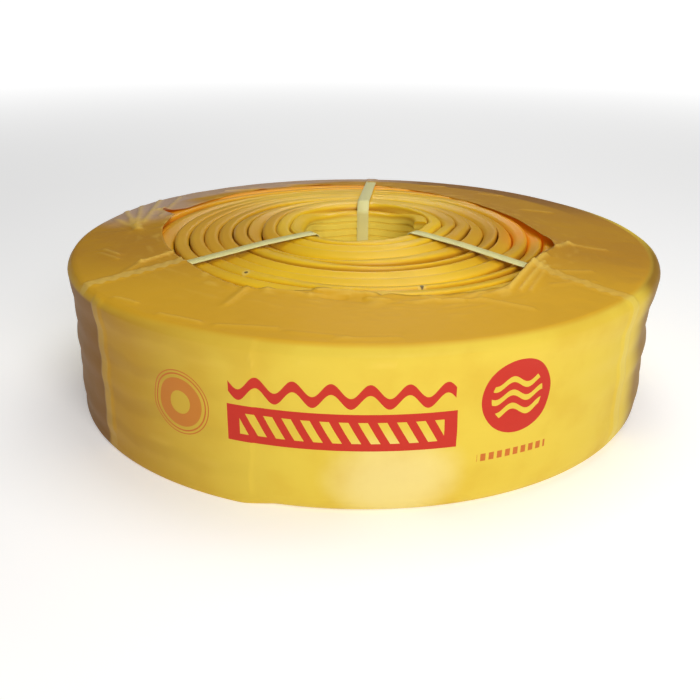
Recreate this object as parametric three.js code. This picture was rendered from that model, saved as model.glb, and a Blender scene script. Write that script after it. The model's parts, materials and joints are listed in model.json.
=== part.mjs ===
import * as THREE from 'three';
import { mergeVertices } from 'three/addons/utils/BufferGeometryUtils.js';

// A roll of ribbed PVC waterstop strip lying flat on its side, as it is sold: the strip is
// wound edge up around an open bore, three plastic straps run through the bore and hold the
// turns together, and a printed plastic film covers the rim and laps over both faces.
// Millimetres, +Z up, origin on the floor under the middle of the rim.

// Strip and winding. The roll is round at the rim, but its bore has sprung into an oval that
// is longer towards +Y, where the turns crowd together.
const stripWidth = 150;
const turnCount = 16;
const coilRadius = 304;
const boreHalfWidth = 60;
const boreHalfLength = 71;
const boreOffset = 13;
const edgeRadius = 8;
const boreEdgeRadius = 3;

// The inner turns have slid upwards: level near the bore, then a straight fall to the
// outermost turn, which is level again
const crownRise = 16;
const crownLevelRadius = 107;
const rimLevelWidth = 20;

// The gap between two turns, which runs down from both ends of the roll
const turnGapWidth = 3.2;
const turnGapDepth = 36;

// Straps: width, thickness, and the directions that they run out in, seen from above
const strapWidth = 13.5;
const strapThickness = 0.8;
const strapDirections = { strap_back: 88, strap_left: 217, strap_right: 324 };

// Wrapping film: how far it reaches in under the roll, and the radius of its irregular
// hand-folded edge on top, every 30 degrees from +X
const filmThickness = 0.7;
const filmUnderlapRadius = 205;
const filmLipRadii = [185, 178, 205, 247, 243, 230, 212, 206, 215, 203, 219, 200];

// Clearance between touching pieces, and the fineness of round shapes
const clearance = 0.3;
const ringSegments = 48;
const cornerStep = THREE.MathUtils.degToRad(24);

// Places that follow from the sizes above
const rimLevelRadius = coilRadius - rimLevelWidth;
const coilBase = filmThickness + strapThickness + 2 * clearance;
const coilTop = coilBase + stripWidth;
const facetShrink = Math.cos(Math.PI / ringSegments);
const directions = Object.values(strapDirections).map(THREE.MathUtils.degToRad);
const nearestBore = Math.min(...directions.map(strapBoreRadius));

// How far the edge of the strip stands above its level at the rim
function riseAt(radius) {
  const share = (rimLevelRadius - radius) / (rimLevelRadius - crownLevelRadius);
  return crownRise * THREE.MathUtils.clamp(share, 0, 1);
}

// Distance from the middle of the rim to the bore wall along a direction, on a line that is
// shifted sideways
function boreReach(angle, sideways) {
  const along = new THREE.Vector2(Math.cos(angle), Math.sin(angle));
  const start = new THREE.Vector2(-along.y, along.x).multiplyScalar(sideways);
  start.y -= boreOffset;
  const scaled = new THREE.Vector2(along.x / boreHalfWidth, along.y / boreHalfLength);
  const from = new THREE.Vector2(start.x / boreHalfWidth, start.y / boreHalfLength);
  const half = scaled.dot(from) / scaled.lengthSq();
  return Math.sqrt(half ** 2 - (from.lengthSq() - 1) / scaled.lengthSq()) - half;
}

// Where the flat of a strap stands free of the curved bore wall
function strapBoreRadius(angle) {
  const reaches = [-strapWidth / 2, strapWidth / 2].map((sideways) => boreReach(angle, sideways));
  return Math.min(...reaches) * facetShrink;
}

function point(radius, height) {
  return new THREE.Vector2(radius, height);
}

// Points around one outward corner of a section that is walked anticlockwise. The corner is
// rounded to radius, and the whole section is offset outwards by grow.
function roundedCorner(before, corner, after, radius, grow) {
  const into = corner.clone().sub(before).normalize();
  const outOf = after.clone().sub(corner).normalize();
  const turn = Math.atan2(into.cross(outOf), into.dot(outOf));
  const setBack = radius * Math.tan(turn / 2);
  const firstNormal = point(into.y, -into.x);
  const centre = corner.clone().addScaledVector(into, -setBack).addScaledVector(firstNormal, -radius);
  const steps = Math.max(1, Math.ceil(turn / cornerStep));
  const points = [];
  for (let step = 0; step <= steps; step += 1) {
    const normal = firstNormal.clone().rotateAround(point(0, 0), (turn * step) / steps);
    points.push(centre.clone().addScaledVector(normal, radius + grow));
  }
  return points;
}

// A ring turned about Z from a closed section walked anticlockwise
function turnedRing(section) {
  const geometry = new THREE.LatheGeometry([...section, section[0]], ringSegments);
  geometry.rotateX(Math.PI / 2);
  geometry.deleteAttribute('normal');
  geometry.deleteAttribute('uv');
  return mergeVertices(geometry, 1e-3);
}

// Moves every vertex of a ring: change takes and returns its place in x, y and z
function reshape(geometry, change) {
  const spots = geometry.attributes.position;
  const spot = new THREE.Vector3();
  for (let index = 0; index < spots.count; index += 1) {
    change(spot.fromBufferAttribute(spots, index));
    spots.setXYZ(index, spot.x, spot.y, spot.z);
  }
  return geometry;
}

// The turn edges on one end of the roll, from the bore to the rim, cut by the turn gaps.
// side is 1 on the upper end and -1 on the lower end.
function turnEdges(endHeight, side) {
  const pitch = (coilRadius - boreHalfWidth) / turnCount;
  const points = [];
  for (let turn = 1; turn < turnCount; turn += 1) {
    const middle = boreHalfWidth + turn * pitch;
    points.push(point(middle - turnGapWidth / 2, endHeight));
    points.push(point(middle, endHeight - side * turnGapDepth));
    points.push(point(middle + turnGapWidth / 2, endHeight));
  }
  return points;
}

// The coil is turned as a flat ring with a round bore. Then the bore is stretched to its oval
// and every turn but the outermost is raised by its share of the crown.
function coilGeometry() {
  const boreBottom = point(boreHalfWidth, coilBase);
  const rimBottom = point(coilRadius, coilBase);
  const rimTop = point(coilRadius, coilTop);
  const boreTop = point(boreHalfWidth, coilTop);
  const ring = turnedRing([
    ...roundedCorner(boreTop, boreBottom, rimBottom, boreEdgeRadius, 0),
    ...turnEdges(coilBase, -1),
    ...roundedCorner(boreBottom, rimBottom, rimTop, edgeRadius, 0),
    ...roundedCorner(rimBottom, rimTop, boreTop, edgeRadius, 0),
    ...turnEdges(coilTop, 1).reverse(),
    ...roundedCorner(rimTop, boreTop, boreBottom, boreEdgeRadius, 0),
  ]);
  return reshape(ring, (spot) => {
    const radius = Math.hypot(spot.x, spot.y);
    const share = (rimLevelRadius - radius) / (rimLevelRadius - boreHalfWidth);
    const stretch = (boreHalfLength - boreHalfWidth) * (spot.y / radius);
    spot.y += Math.max(share, 0) * (boreOffset + stretch);
    spot.z += riseAt(Math.hypot(spot.x, spot.y));
  });
}

// A taut line around the coil's section through the bore, offset outwards by grow
function strapLine(boreSide, grow) {
  const corners = [
    [point(boreSide, coilBase + crownRise), boreEdgeRadius],
    [point(rimLevelRadius, coilBase), 0],
    [point(coilRadius, coilBase), edgeRadius],
    [point(coilRadius, coilTop), edgeRadius],
    [point(crownLevelRadius, coilTop + crownRise), 0],
    [point(boreSide, coilTop + crownRise), boreEdgeRadius],
  ];
  const points = [];
  corners.forEach(([corner, radius], index) => {
    const before = corners[(index + corners.length - 1) % corners.length][0];
    const after = corners[(index + 1) % corners.length][0];
    points.push(...roundedCorner(before, corner, after, radius, grow));
  });
  return points;
}

function strapGeometry(angle) {
  const boreSide = strapBoreRadius(angle);
  const shape = new THREE.Shape(strapLine(boreSide, clearance + strapThickness));
  shape.holes.push(new THREE.Path(strapLine(boreSide, clearance)));
  const geometry = new THREE.ExtrudeGeometry(shape, { depth: strapWidth, bevelEnabled: false });
  geometry.translate(0, 0, -strapWidth / 2);
  geometry.rotateX(Math.PI / 2);
  return geometry;
}

// The straight line that a strap takes over the top of the roll, and the one under the roll
function lineOver(radius) {
  return coilTop + (crownRise * (coilRadius - radius)) / (coilRadius - crownLevelRadius);
}

function lineUnder(radius) {
  return coilBase + (crownRise * (rimLevelRadius - radius)) / (rimLevelRadius - nearestBore);
}

// One face of the film's wall in section, from its edge under the roll to its edge on top
function filmFace(grow) {
  const lipRadius = filmUnderlapRadius;
  const underlap = point(lipRadius, lineUnder(lipRadius));
  const level = point(rimLevelRadius, coilBase);
  const rimBottom = point(coilRadius, coilBase);
  const rimTop = point(coilRadius, coilTop);
  const lip = point(lipRadius, lineOver(lipRadius));
  const beyondUnderlap = underlap.clone().lerp(level, -1);
  const beyondLip = lip.clone().lerp(rimTop, -1);
  const ends = [
    [beyondUnderlap, underlap, level],
    [beyondUnderlap, level, rimBottom],
    [level, rimBottom, rimTop],
    [rimBottom, rimTop, lip],
    [rimTop, lip, beyondLip],
  ].map(([before, corner, after], index) => {
    const rounded = index === 2 || index === 3;
    return roundedCorner(before, corner, after, rounded ? edgeRadius : 0, grow);
  });
  const points = [ends[0][0], ...ends[1], ...ends[2], ...ends[3], ends[4][0]];
  return points.map((spot) => point(spot.x / facetShrink, spot.y));
}

// Radius of the film's edge on top of the roll, smooth between the listed values
function lipRadiusAt(angle) {
  const count = filmLipRadii.length;
  const place = ((angle / (2 * Math.PI)) * count + count) % count;
  const index = Math.floor(place);
  const ease = THREE.MathUtils.smoothstep(place - index, 0, 1);
  return THREE.MathUtils.lerp(filmLipRadii[index], filmLipRadii[(index + 1) % count], ease);
}

// The film is turned with an even edge, which then slides in or out along the slope of the
// roll to its irregular radius
function filmGeometry() {
  const inside = clearance + strapThickness + clearance;
  const outside = inside + filmThickness;
  const ring = turnedRing([...filmFace(outside), ...filmFace(inside).reverse()]);
  const lipLimit = (filmUnderlapRadius + outside) / facetShrink;
  const fall = crownRise / (coilRadius - crownLevelRadius);
  return reshape(ring, (spot) => {
    const radius = Math.hypot(spot.x, spot.y);
    if (radius < lipLimit && spot.z > coilTop) {
      const wanted = lipRadiusAt(Math.atan2(spot.y, spot.x));
      spot.x *= wanted / radius;
      spot.y *= wanted / radius;
      spot.z -= (wanted - radius) * fall;
    }
  });
}

function plastic(colour, roughness) {
  return new THREE.MeshStandardMaterial({ color: colour, roughness, metalness: 0 });
}

function piece(name, geometry, material) {
  const mesh = new THREE.Mesh(geometry, material);
  mesh.name = name;
  return mesh;
}

const roll = new THREE.Group();
roll.add(piece('waterstop_coil', coilGeometry(), plastic(0xe0ad2e, 0.45)));
for (const [name, direction] of Object.entries(strapDirections)) {
  const angle = THREE.MathUtils.degToRad(direction);
  const strap = piece(name, strapGeometry(angle), plastic(0xcfd28f, 0.35));
  strap.rotation.z = angle;
  roll.add(strap);
}
roll.add(piece('wrap_film', filmGeometry(), plastic(0xddb343, 0.3)));

export default roll;
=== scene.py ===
"""A wrapped roll of ribbed PVC waterstop strip: the wound strip, its straps, its film and a studio."""
import json
import math

import bmesh
import bpy
import numpy as np
from bpy.props import FloatProperty, FloatVectorProperty, IntProperty, PointerProperty
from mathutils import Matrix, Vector, noise

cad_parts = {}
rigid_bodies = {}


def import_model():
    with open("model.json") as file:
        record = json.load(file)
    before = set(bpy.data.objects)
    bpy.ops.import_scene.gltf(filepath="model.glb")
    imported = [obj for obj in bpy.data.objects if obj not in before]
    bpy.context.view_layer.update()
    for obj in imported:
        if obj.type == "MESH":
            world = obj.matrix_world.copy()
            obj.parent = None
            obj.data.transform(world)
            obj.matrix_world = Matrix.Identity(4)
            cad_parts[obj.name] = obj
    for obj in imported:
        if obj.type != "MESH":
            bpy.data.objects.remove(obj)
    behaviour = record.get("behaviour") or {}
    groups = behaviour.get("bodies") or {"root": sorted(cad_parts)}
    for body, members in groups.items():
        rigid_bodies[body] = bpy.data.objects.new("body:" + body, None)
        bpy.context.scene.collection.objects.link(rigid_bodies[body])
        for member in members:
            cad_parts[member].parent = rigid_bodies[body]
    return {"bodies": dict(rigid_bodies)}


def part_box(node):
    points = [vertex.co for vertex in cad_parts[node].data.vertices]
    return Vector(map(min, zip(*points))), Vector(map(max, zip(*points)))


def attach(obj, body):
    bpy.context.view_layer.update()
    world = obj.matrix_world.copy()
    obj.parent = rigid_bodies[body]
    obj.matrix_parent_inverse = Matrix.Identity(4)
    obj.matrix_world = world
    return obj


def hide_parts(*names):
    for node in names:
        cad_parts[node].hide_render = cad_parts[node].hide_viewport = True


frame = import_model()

bl_info = {
    "name": "Waterstop roll",
    "version": (1, 0, 0),
    "blender": (4, 5, 0),
    "location": "3D View > Sidebar > Waterstop",
    "description": "Winds, straps and wraps a roll of PVC waterstop strip around its packed frame",
    "category": "Object",
}

MM = 0.001
BODY = next(iter(frame["bodies"]))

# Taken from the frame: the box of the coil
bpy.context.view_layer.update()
COIL_LOW, COIL_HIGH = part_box("waterstop_coil")

# All directions are seen from above, in degrees from +X. The front of the roll faces -Y.

# The strip's round edge in section: half its thickness and the drop from its level, in millimetres
ROUND_EDGE = [(0.0, -0.3), (2.4, 0.0), (4.7, -0.4), (6.3, -1.2), (7.1, -2.5), (7.3, -4.6)]

# How the first turn grows from its end to the start of the next: share of a turn, share of the pitch
FIRST_TURN = [(0, 0), (0.1, 0.18), (0.5, 0.34), (0.63, 0.92), (0.75, 0.68), (0.9, 0.60), (1, 1)]

# Eyelets of the strip that show on top: direction, and radius in millimetres
EYELETS = [(233, 179), (286.8, 185), (125.5, 136)]

# Direction of each strap at the bore and at the rim
STRAP_DIRECTIONS = {"strap_back": (90, 87.6), "strap_left": (221, 215), "strap_right": (326.5, 322)}

# Where the straps raise the film: direction on top and down the side, how plainly each part shows
STRAP_RIDGES = [(87.6, 87.6, 0.1, 0.1), (213.6, 220, 0.2, 0.08), (322, 322, 0.12, 0.12)]

# The film's hand-folded edge on top of the roll: direction, and radius in millimetres
FILM_EDGE = [
    (5, 181), (24, 178), (38, 184), (56, 203), (66, 218), (77, 238), (87, 260), (100, 264),
    (110, 262), (119, 264), (130, 256), (144, 240), (152, 236), (157, 242), (160, 252), (163, 224),
    (190, 210), (205, 206), (218, 205), (231, 210), (241, 217), (246, 212), (255, 205),
    (267, 202), (279, 212), (290, 219), (298, 218), (305, 223), (311, 214), (319, 203),
    (331, 199), (341, 204), (347, 200), (355, 188),
]

# How far the film's edge stands clear of the turns, or is drawn in between them: millimetres
FILM_EDGE_LIFT = [
    (0, 2.5), (20, 0.6), (40, -1.2), (55, -2.8), (90, -3.0), (125, -3.0), (150, -2.4), (161, 0.4),
    (170, 1.4), (205, 1.0), (230, 0.8), (270, 0.8), (300, 1.2), (312, 5.0), (330, 6.0), (345, 4.0),
]

# How far the film's lower rim is rounded, in millimetres. It hangs square on the left, as far as the
# film's overlapping end, and is drawn in on the right.
FILM_LOWER_RIM = [
    (0, 12), (30, 7), (60, 4), (180, 3.5), (251, 3.5), (256, 14), (270, 15.5), (335, 15.5),
]

# Folds in the top of the film: two ends as (direction, radius), then width and height, in millimetres
FILM_FOLDS = [
    ((206, 204), (208, 240), 2.6, 2.6), ((208, 240), (212, 262), 3.0, 1.2),
    ((179, 243), (169, 286), 4.8, 1.6), ((179, 245), (161, 296), 4.6, 1.9),
    ((176, 248), (155, 297), 4.6, 1.7), ((172, 246), (149, 294), 4.8, 1.9),
    ((166, 238), (144, 284), 4.8, 1.5), ((159, 255), (159, 230), 4.5, 3.0),
    ((194, 268), (199, 256), 3.0, 1.6), ((196, 273), (202, 258), 2.6, 1.4),
    ((242, 206), (243, 250), 3.5, 1.2), ((223, 293), (228, 288), 2.4, 1.6),
    ((235, 292), (243, 289), 2.4, 1.5), ((246, 288), (256, 279), 2.6, 1.2),
    ((266, 290), (276, 288), 2.0, 1.1), ((247, 211), (258, 213), 2.4, 1.6),
    ((259, 204), (271, 206), 2.6, 2.6), ((262, 213), (270, 216), 4.0, -2.2),
    ((258, 213), (267, 209), 2.2, 1.3), ((267, 214), (276, 219), 2.4, 1.6),
    ((286, 226), (295, 232), 1.8, 1.2), ((297, 227), (304, 228), 2.0, 1.5),
    ((284, 217), (287, 226), 2.0, 1.1), ((258, 283), (268, 287), 2.2, 0.9),
    ((284, 214), (292, 232), 3.0, 1.1), ((296, 231), (303, 266), 3.2, 1.3),
    ((305, 227), (322, 204), 3.0, 2.6), ((322, 204), (331, 203), 3.0, 2.6),
    ((307, 233), (326, 209), 2.2, 2.2), ((309, 238), (325, 215), 2.4, 1.4),
    ((341, 206), (348, 216), 3.0, 2.2), ((348, 216), (348, 255), 2.0, 1.8),
    ((324, 226), (330, 250), 3.0, 1.3), ((316, 240), (325, 262), 3.0, 1.0),
    ((29, 218), (24, 246), 3.0, 1.4), ((53, 248), (47, 262), 2.6, 1.2),
    ((72, 258), (66, 268), 2.4, 1.2), ((100, 262), (112, 270), 3.0, 1.5),
    ((120, 262), (131, 272), 3.0, 1.8),
]

# Folds in the side of the film: two ends as (along the rim from the middle of the front, height),
# then width and height, all in millimetres
SIDE_FOLDS = [
    ((-48, 139.5), (-8, 138.0), 1.5, 0.7), ((-8, 138.0), (26, 140.5), 1.6, 0.9),
    ((-52, 133.0), (-20, 131.5), 1.6, 0.5), ((2, 130.0), (34, 132.0), 1.6, 0.4),
    ((-88, 141.0), (-84, 132.0), 1.4, 0.8), ((-150, 128.0), (-92, 131.0), 2.4, 0.6),
    ((-165, 116.0), (-96, 118.0), 2.4, 0.5), ((-20, 36.0), (30, 35.0), 1.8, 0.4),
    ((-200, 42.0), (-120, 34.0), 3.0, 0.7), ((120, 134.0), (190, 137.0), 2.2, 0.5),
]

# The film's overlapping end in front, and the creases past which its side takes painted shade
FILM_END = 253.2
LEFT_CREASE = 218.5
RIGHT_CREASE = 325

# The middle of the opening that the film leaves over the turns, in metres
OPENING_MIDDLE = (-0.03, 0.04)

# Edges of the strip's mesh that bend more than this stay crisp
CRISP_BEND = math.radians(38)


def length(label, description, default):
    return FloatProperty(name=label, description=description, default=default, unit="LENGTH")


def number(label, description, default):
    return FloatProperty(name=label, description=description, default=default)


def whole(label, description, default):
    return IntProperty(name=label, description=description, default=default)


def angle(label, description, degrees):
    return FloatProperty(
        name=label, description=description, default=math.radians(degrees), subtype="ANGLE")


def colour(label, description, *channels):
    return FloatVectorProperty(
        name=label, description=description, subtype="COLOR", size=4, default=(*channels, 1))


class WATERSTOP_PG_strip(bpy.types.PropertyGroup):
    """Sizes of the strip and of its winding"""

    width: length("Strip width", "Width of the strip, which stands on edge", 0.150)
    thickness: length("Strip thickness", "Thickness over the ribs of both faces", 0.0146)
    web_thickness: length("Web thickness", "Thickness between the ribs", 0.0102)
    rib_pitch: length("Rib pitch", "Distance from rib to rib near both edges", 0.0082)
    ribs_per_edge: whole("Ribs per edge", "Ribs on each face along each edge", 4)
    pitch: length("Turn pitch", "Radial distance from turn to turn", 0.01525)
    bore_start: length("Bore radius at the end", "Radius of the inner face at the inner end", 0.0555)
    rim_radius: length("Rim radius", "Radius of the outermost face", 0.2995)
    rim_round: length("Lower rim rounding", "How far the roll's rim is pressed round below", 0.0140)
    end_direction: angle("Inner end", "Direction in which the inner end of the strip lies", -4)
    end_cut: length("End cut", "How far back the slanted cut of the inner end runs", 0.066)
    steps_per_turn: whole("Steps per turn", "Fineness of each turn", 56)
    bore_offset: length("Bore offset", "How far the oval bore lies towards +Y", 0.015)
    bore_stretch: length("Bore stretch", "How much longer than wide the bore is, each way", 0.011)
    bore_rise: length("Bore rise", "How far the innermost turns stand out above the crown", 0.002)
    back_drop: length("Back drop", "How far the innermost turn has sunk at its back", 0.009)
    level_radius: length("Level radius", "Outside this radius, the turns are round and level", 0.284)
    crown_radius: length("Crown radius", "Inside this radius, the turns stand at full height", 0.107)
    slip: length("Turn slip", "Most that one turn sits lower than its neighbours", 0.0013)
    edge_slope: number("Edge slope", "Most that the edge of a turn leans to one side", 0.40)


class WATERSTOP_PG_strap(bpy.types.PropertyGroup):
    """Sizes of the straps"""

    width: length("Strap width", "Width of the strapping", 0.0135)
    thickness: length("Strap thickness", "Thickness of the strapping", 0.0008)
    clearance: length("Strap clearance", "Gap between a strap and the strip", 0.0003)
    bore_gap: length("Gap in the bore", "How much further in the flat strap lies there", 0.0009)
    bend_radius: length("Bend radius", "Radius of a strap's bends", 0.004)
    step: length("Step", "Fineness along a strap", 0.002)


class WATERSTOP_PG_film(bpy.types.PropertyGroup):
    """Sizes of the wrapping film"""

    side_radius: length("Side radius", "Radius of the film's side below the flared rim", 0.3030)
    rim_radius: length("Flared rim radius", "Radius of the film at its upper rim", 0.3064)
    right_flare: length("Flare on the right", "How much further the rim stands out there", 0.0045)
    corner: length("Upper corner", "Rounding of the upper rim", 0.0088)
    over_turns: length("Height over the turns", "Gap from the turns to the outer face", 0.0013)
    inner_gap: length("Inner gap", "From the outer face of the side to the inner face", 0.0011)
    underlap: length("Underlap radius", "Radius of the film's edge under the roll", 0.205)
    crumple: length("Crumple", "Size of the irregular wrinkles on top", 0.0009)
    steps_around: whole("Steps around", "Fineness of the film around the roll", 800)
    top_rows: whole("Rows on top", "Fineness of the film from the rim to its edge", 44)
    side_rows: whole("Rows on the side", "Fineness of the film down the side", 28)


class WATERSTOP_PG_colours(bpy.types.PropertyGroup):
    """Colours of the materials"""

    strip: colour("Strip", "Golden yellow PVC", 0.88, 0.55, 0.016)
    # Painted light: a lit copy of the PVC for the wall of the bore
    strip_bore_lit: colour("Strip in the bore", "The same PVC, lit from above", 1.0, 0.82, 0.14)
    # Painted shade deep between the turns
    strip_gap_shade: colour("Strip in the gaps", "PVC deep between the turns", 0.42, 0.16, 0.012)
    # Painted shade at the left and the right, and along the edges of each turn
    strip_shade: colour("Strip, browned", "PVC at the left and the right", 0.52, 0.20, 0.014)
    # Painted light: orange where light comes through the film
    strip_film_lit: colour("Strip near the film", "PVC along the back edge", 0.72, 0.25, 0.012)
    # Painted glow, standing in for light through the film
    strip_painted_glow: colour("Light through the film", "On the turn beneath its back edge", 0.50, 0.10, 0.0)
    eyelet: colour("Eyelet", "Rim of an eyelet", 0.9, 0.68, 0.2)
    # Painted shade standing for the hole of an eyelet
    eyelet_hole_shade: colour("Eyelet hole", "Hole of an eyelet", 0.06, 0.03, 0.006)
    strap: colour("Strap", "Pale green-cream strapping", 0.90, 0.84, 0.32)
    strap_cloud: colour("Strap, paler", "Paler clouds in the strapping", 0.90, 0.84, 0.448)
    film: colour("Film on the side", "Yellow film drawn tight over the rim", 0.755, 0.555, 0.064)
    # Painted sheen, a paler patch low in front
    film_sheen_paint: colour("Film, rubbed", "Paler patch low in front", 0.92, 0.80, 0.42)
    # Painted shade: a darker copy of the film colour for the top, and a darker one still for the back
    # and the left
    film_top_shaded: colour("Film on top", "Film that lies loose over the turns", 0.70, 0.385, 0.022)
    film_back_shade: colour("Film on top, behind", "Browner film at the back", 0.50, 0.245, 0.022)
    # Painted highlight along the folds
    film_fold_highlight: colour("Film on folds", "Lighter film along its folds", 0.95, 0.68, 0.14)
    # Painted shade at the left and the right of the side
    film_shade: colour("Film, browned", "Brown film at the left and right", 0.22, 0.085, 0.008)
    # Painted reflection along the back rim and over the pleats
    film_reflection: colour("Film along the back rim", "Greyish film without print", 0.50, 0.36, 0.28)
    print_red: colour("Print", "Red print on the film", 0.55, 0.036, 0.022)
    print_brown: colour("Fine print", "Orange-brown print on the film", 0.58, 0.16, 0.03)
    floor: colour("Floor", "Pale floor", 0.9, 0.9, 0.9)
    floor_near: colour("Floor glow near the roll", "Weaker glow there", 0.30, 0.30, 0.30)
    floor_far: colour("Floor glow far away", "Full glow", 1.0, 1.0, 1.0)


class WATERSTOP_PG_studio(bpy.types.PropertyGroup):
    """Camera and lights"""

    camera_distance: length("Camera distance", "From the roll, along the floor", 0.918)
    camera_height: length("Camera height", "Above the floor", 0.4134)
    camera_pitch: angle("Camera pitch", "Downward tilt", 23.1)
    camera_roll: angle("Camera roll", "Tilt of the camera to the side", 0.6)
    camera_lens: number("Lens", "Focal length in millimetres", 44.95)
    camera_shift: number("Shift", "Sideways shift that frames the roll as photographed", -0.0161)
    key_power: number("Key light", "Power of the light in front, in watts", 22.8)
    back_power: number("Back light", "Power of the light behind, in watts", 2.4)
    top_power: number("Top light", "Power of the light overhead, in watts", 12.0)
    surround: number("Surround", "Brightness of the surroundings", 0.12)
    backdrop: number("Backdrop", "Brightness of the surroundings as the camera sees them", 1.0)
    floor_glow: number("Floor glow", "How much the pale floor shines by itself", 1.0)


class Wire:
    """A number, colour or place that comes out of a node, for use in formulas"""

    def __init__(self, bench, socket):
        self.bench = bench
        self.socket = socket

    def other(self, name):
        """The same node's output of that name"""
        return Wire(self.bench, self.socket.node.outputs[name])

    def at_least(self, value):
        return self.bench.math("MAXIMUM", self, value)

    def at_most(self, value):
        return self.bench.math("MINIMUM", self, value)

    def __add__(self, value):
        return self.bench.math("ADD", self, value)

    def __sub__(self, value):
        return self.bench.math("SUBTRACT", self, value)

    def __mul__(self, value):
        return self.bench.math("MULTIPLY", self, value)

    def __truediv__(self, value):
        return self.bench.math("DIVIDE", self, value)

    def __rsub__(self, value):
        return self.bench.math("SUBTRACT", value, self)

    def __lt__(self, value):
        return self.bench.math("LESS_THAN", self, value)

    def __gt__(self, value):
        return self.bench.math("GREATER_THAN", self, value)

    def __neg__(self):
        return self * -1.0

    def __abs__(self):
        return self.bench.math("ABSOLUTE", self)

    __radd__ = __add__


class Bench:
    """Makes and links the nodes of one tree, of a material or of Geometry Nodes"""

    def __init__(self, tree):
        self.tree = tree

    def node(self, kind, sockets=None, output=0, **choices):
        """Makes a node. Its choices are set first, then the values or links of its sockets."""
        made = self.tree.nodes.new(kind)
        for name, value in choices.items():
            if name == "points":
                self.set_points(made.mapping, value)
            else:
                setattr(made, name, value)
        for name, value in (sockets or {}).items():
            if isinstance(value, Wire):
                self.tree.links.new(value.socket, made.inputs[name])
            else:
                made.inputs[name].default_value = value
        return Wire(self, made.outputs[output])

    def set_points(self, mapping, points):
        curve = mapping.curves[0]
        while len(curve.points) < len(points):
            curve.points.new(1.0, 1.0)
        for spot, place in zip(curve.points, points):
            spot.location = place
        mapping.update()

    def math(self, operation, *values):
        return self.node("ShaderNodeMath", dict(enumerate(values)), operation=operation)

    def vector(self, operation, first, second, output="Vector"):
        return self.node("ShaderNodeVectorMath", {0: first, 1: second}, output, operation=operation)

    def reach(self, x, y):
        """Distance from the origin to x, y"""
        return self.math("SQRT", x * x + y * y)

    def sine(self, value):
        return self.math("SINE", value)

    def join(self, **parts):
        return self.node("ShaderNodeCombineXYZ", parts)

    def split(self, place):
        parts = self.node("ShaderNodeSeparateXYZ", {"Vector": place})
        return parts, parts.other("Y"), parts.other("Z")

    def ease(self, value, start, end):
        """0 below start, 1 above end, and smooth between"""
        sockets = {"Value": value, "From Min": start, "From Max": end}
        return self.node("ShaderNodeMapRange", sockets, interpolation_type="SMOOTHSTEP")

    def scale(self, value, low, high):
        """Maps 0..1 to low..high"""
        return self.node("ShaderNodeMapRange", {"Value": value, "To Min": low, "To Max": high})

    def blend(self, mask, under, over):
        """Colour under, covered by colour over where mask is 1"""
        return self.node("ShaderNodeMix", {0: mask, 6: under, 7: over}, 2, data_type="RGBA")

    def noise_along(self, where, detail=2.0):
        """Smooth noise along one line"""
        sockets = {"W": where, "Scale": 1.0, "Detail": detail}
        return self.node("ShaderNodeTexNoise", sockets, noise_dimensions="1D")

    def speckle(self, place, size, detail=3.0, stretch=(1, 1, 1)):
        """Soft noise with blotches of about size metres"""
        scaled = self.node("ShaderNodeMapping", {"Vector": place, "Scale": stretch})
        return self.node("ShaderNodeTexNoise", {"Vector": scaled, "Scale": 1 / size, "Detail": detail})

    def attribute(self, name):
        """A number that a piece's mesh keeps for each place, in a material"""
        return self.node("ShaderNodeAttribute", output="Fac", attribute_name=name)

    def stored(self, geometry, name, value):
        """Geometry that keeps a number for each place"""
        sockets = {"Geometry": geometry, "Name": name, "Value": value}
        return self.node("GeometryNodeStoreNamedAttribute", sockets, data_type="FLOAT")

    def read(self, name):
        """A number that was kept with stored"""
        return self.node("GeometryNodeInputNamedAttribute", {"Name": name}, data_type="FLOAT")

    def moved(self, geometry, **sockets):
        return self.node("GeometryNodeSetPosition", {"Geometry": geometry, **sockets})


def settings():
    return bpy.context.scene.waterstop_roll


def crown_rise():
    """How far the middle of the roll stands above its rim"""
    return COIL_HIGH.z - COIL_LOW.z - settings().strip.width


def smooth_step(value, start, end):
    share = np.clip((value - start) / (end - start), 0, 1)
    return share * share * (3 - 2 * share)


def polar(direction, radius):
    """A place in metres from degrees and millimetres"""
    turn = math.radians(direction)
    return np.array((math.cos(turn), math.sin(turn))) * radius * MM


def closed_curve(name, points):
    """A closed curve object through flat or spatial points"""
    data = bpy.data.curves.new(name, "CURVE")
    data.dimensions = "3D"
    spline = data.splines.new("POLY")
    spline.points.add(len(points) - 1)
    for spot, place in zip(spline.points, points):
        spot.co = (*place, 0.0, 1.0) if len(place) == 2 else (*place, 1.0)
    spline.use_cyclic_u = True
    made = bpy.data.objects.new(name, data)
    bpy.context.scene.collection.objects.link(made)
    return made


def add_piece(name, mesh, node):
    """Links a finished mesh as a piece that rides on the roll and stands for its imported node"""
    made = bpy.data.objects.new(name, mesh)
    bpy.context.scene.collection.objects.link(made)
    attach(made, BODY)
    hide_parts(node)


def new_tree(name, inputs, has_geometry=False):
    """A Geometry Nodes tree with named inputs, its bench, and a wire for each input"""
    tree = bpy.data.node_groups.new(name, "GeometryNodeTree")
    add_socket = tree.interface.new_socket
    add_socket("Geometry", in_out="OUTPUT", socket_type="NodeSocketGeometry")
    if has_geometry:
        add_socket("Geometry", in_out="INPUT", socket_type="NodeSocketGeometry")
    for label, value in inputs.items():
        kind = "NodeSocketObject" if isinstance(value, bpy.types.Object) else "NodeSocketFloat"
        add_socket(label, in_out="INPUT", socket_type=kind)
    bench = Bench(tree)
    group_in = tree.nodes.new("NodeGroupInput")
    return tree, bench, {out.name: Wire(bench, out) for out in group_in.outputs if out.name}


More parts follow.
